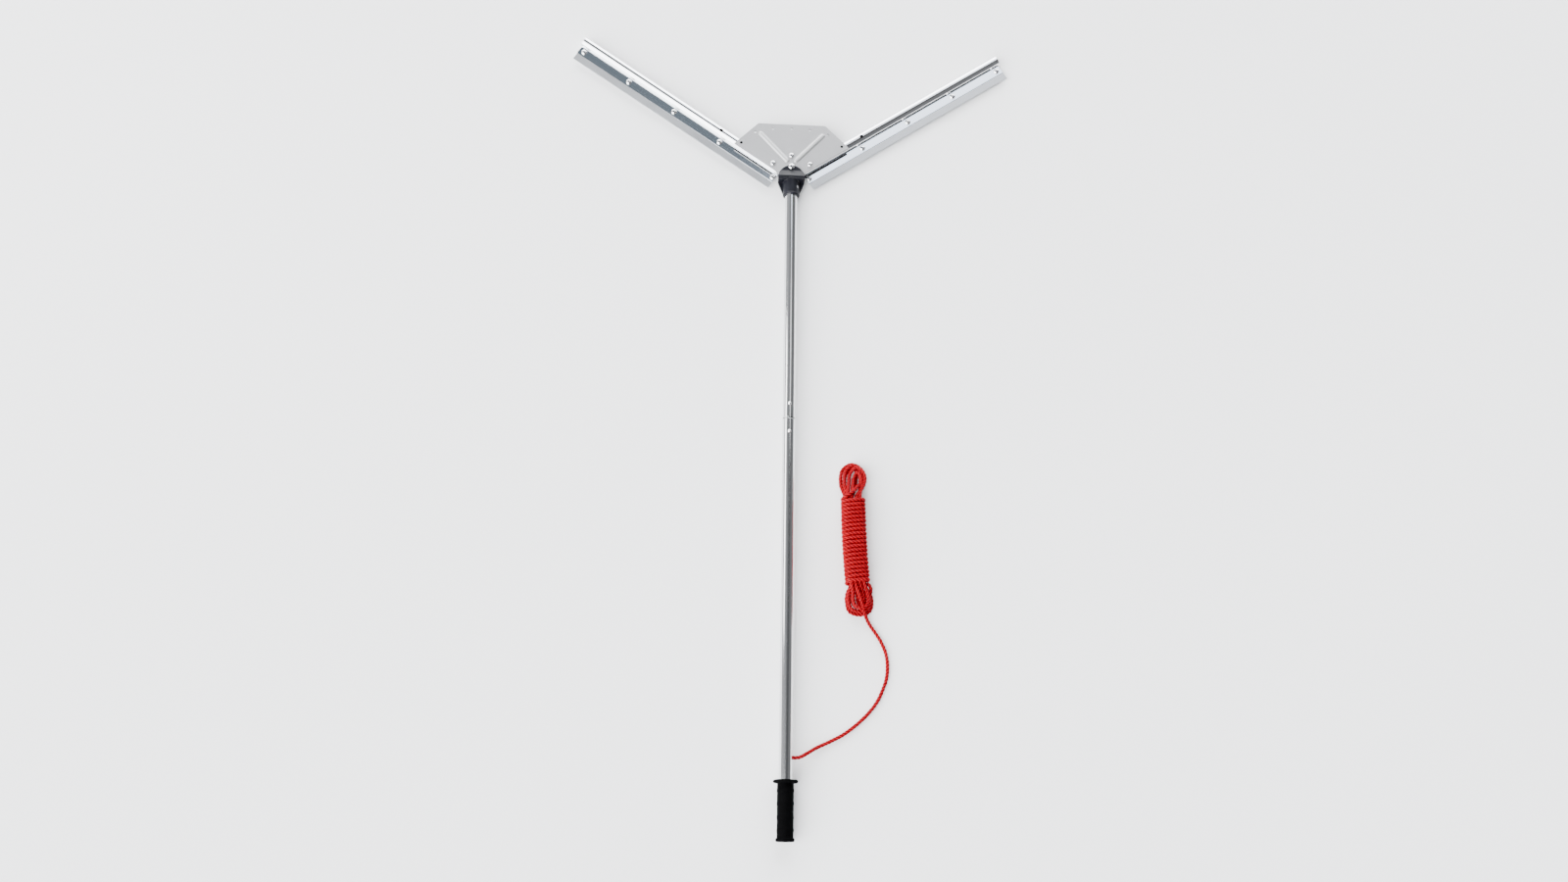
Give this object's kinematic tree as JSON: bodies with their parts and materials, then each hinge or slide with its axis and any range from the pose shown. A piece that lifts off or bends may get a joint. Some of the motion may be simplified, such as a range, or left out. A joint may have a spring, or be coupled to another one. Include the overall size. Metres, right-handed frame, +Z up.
{
  "type": "water weed cutter",
  "caption": "Water-weed cutter: V of folding bladed tube arms on a gusset plate, sectional pole with snap-button joint, flanged grip and coiled red rope",
  "frame": {"origin": "bottom centre of the tool's bounding box as it lies flat, rope left out", "axes": "+Y along the pole from the grip to the V's open end, +X to the right seen from above, +Z up from the surface it lies on"},
  "size_m": [0.9352, 1.6633, 0.047],
  "materials": {
    "polished_aluminium": "polished tube",
    "extruded_aluminium": "bright drawn",
    "sheet_aluminium": "matt blasted sheet",
    "blade_steel": "brushed, ground bevel",
    "zinc_steel": "bright zinc plate",
    "black_plastic": "moulded, satin",
    "black_rubber": "soft moulded",
    "red_rope": "three-strand twisted synthetic"
  },
  "bodies": {
    "pole_and_head": {"coupling_sleeve": "polished_aluminium", "grip": "black_rubber", "gusset_plate": "sheet_aluminium", "left_pivot_bush": "zinc_steel", "left_pivot_screw": "zinc_steel", "lower_button_spring": "zinc_steel", "lower_pole": "polished_aluminium", "pole_rivet": "black_plastic", "right_pivot_bush": "zinc_steel", "right_pivot_screw": "zinc_steel", "rope_hank": "red_rope", "rope_knot": "red_rope", "rope_run": "red_rope", "upper_button_spring": "zinc_steel", "upper_pole": "polished_aluminium", "yoke": "black_plastic", "yoke_nut_back": "zinc_steel", "yoke_nut_front": "zinc_steel", "yoke_rear_bracket": "black_plastic", "yoke_screw_back": "zinc_steel", "yoke_screw_front": "zinc_steel"},
    "right_arm": {"right_rail": "extruded_aluminium", "right_blade": "blade_steel", "right_blade_screw_1": "zinc_steel", "right_blade_screw_2": "zinc_steel", "right_blade_screw_3": "zinc_steel", "right_blade_screw_4": "zinc_steel", "right_blade_screw_5": "zinc_steel", "right_blade_nut_1": "zinc_steel", "right_blade_nut_2": "zinc_steel", "right_blade_nut_3": "zinc_steel", "right_blade_nut_4": "zinc_steel", "right_blade_nut_5": "zinc_steel", "right_rail_plug_inner": "black_plastic", "right_rail_plug_outer": "extruded_aluminium"},
    "left_arm": {"left_rail": "extruded_aluminium", "left_blade": "blade_steel", "left_blade_screw_1": "zinc_steel", "left_blade_screw_2": "zinc_steel", "left_blade_screw_3": "zinc_steel", "left_blade_screw_4": "zinc_steel", "left_blade_screw_5": "zinc_steel", "left_blade_nut_1": "zinc_steel", "left_blade_nut_2": "zinc_steel", "left_blade_nut_3": "zinc_steel", "left_blade_nut_4": "zinc_steel", "left_blade_nut_5": "zinc_steel", "left_rail_plug_inner": "black_plastic", "left_rail_plug_outer": "extruded_aluminium"},
    "upper_button": {"upper_snap_button": "zinc_steel"},
    "lower_button": {"lower_snap_button": "zinc_steel"}
  },
  "joints": [
    {"name": "right_arm_fold", "type": "hinge", "parent": "pole_and_head", "child": "right_arm", "pos_m": [0.0389, 0.54514, 0], "axis": [0, 0, 1], "range_deg": [0, 55.7]},
    {"name": "left_arm_fold", "type": "hinge", "parent": "pole_and_head", "child": "left_arm", "pos_m": [-0.0389, 0.54514, 0], "axis": [0, 0, -1], "range_deg": [0, 55.7]},
    {"name": "upper_button_press", "type": "slide", "parent": "pole_and_head", "child": "upper_button", "axis": [0, 0, -1], "range_m": [0, 0.0048], "stiffness_N_per_m": 1200, "springref_m": -0.0015, "deforming": ["upper_button_spring"]},
    {"name": "lower_button_press", "type": "slide", "parent": "pole_and_head", "child": "lower_button", "axis": [0, 0, -1], "range_m": [0, 0.0048], "stiffness_N_per_m": 1200, "springref_m": -0.0015, "deforming": ["lower_button_spring"]}
  ]
}
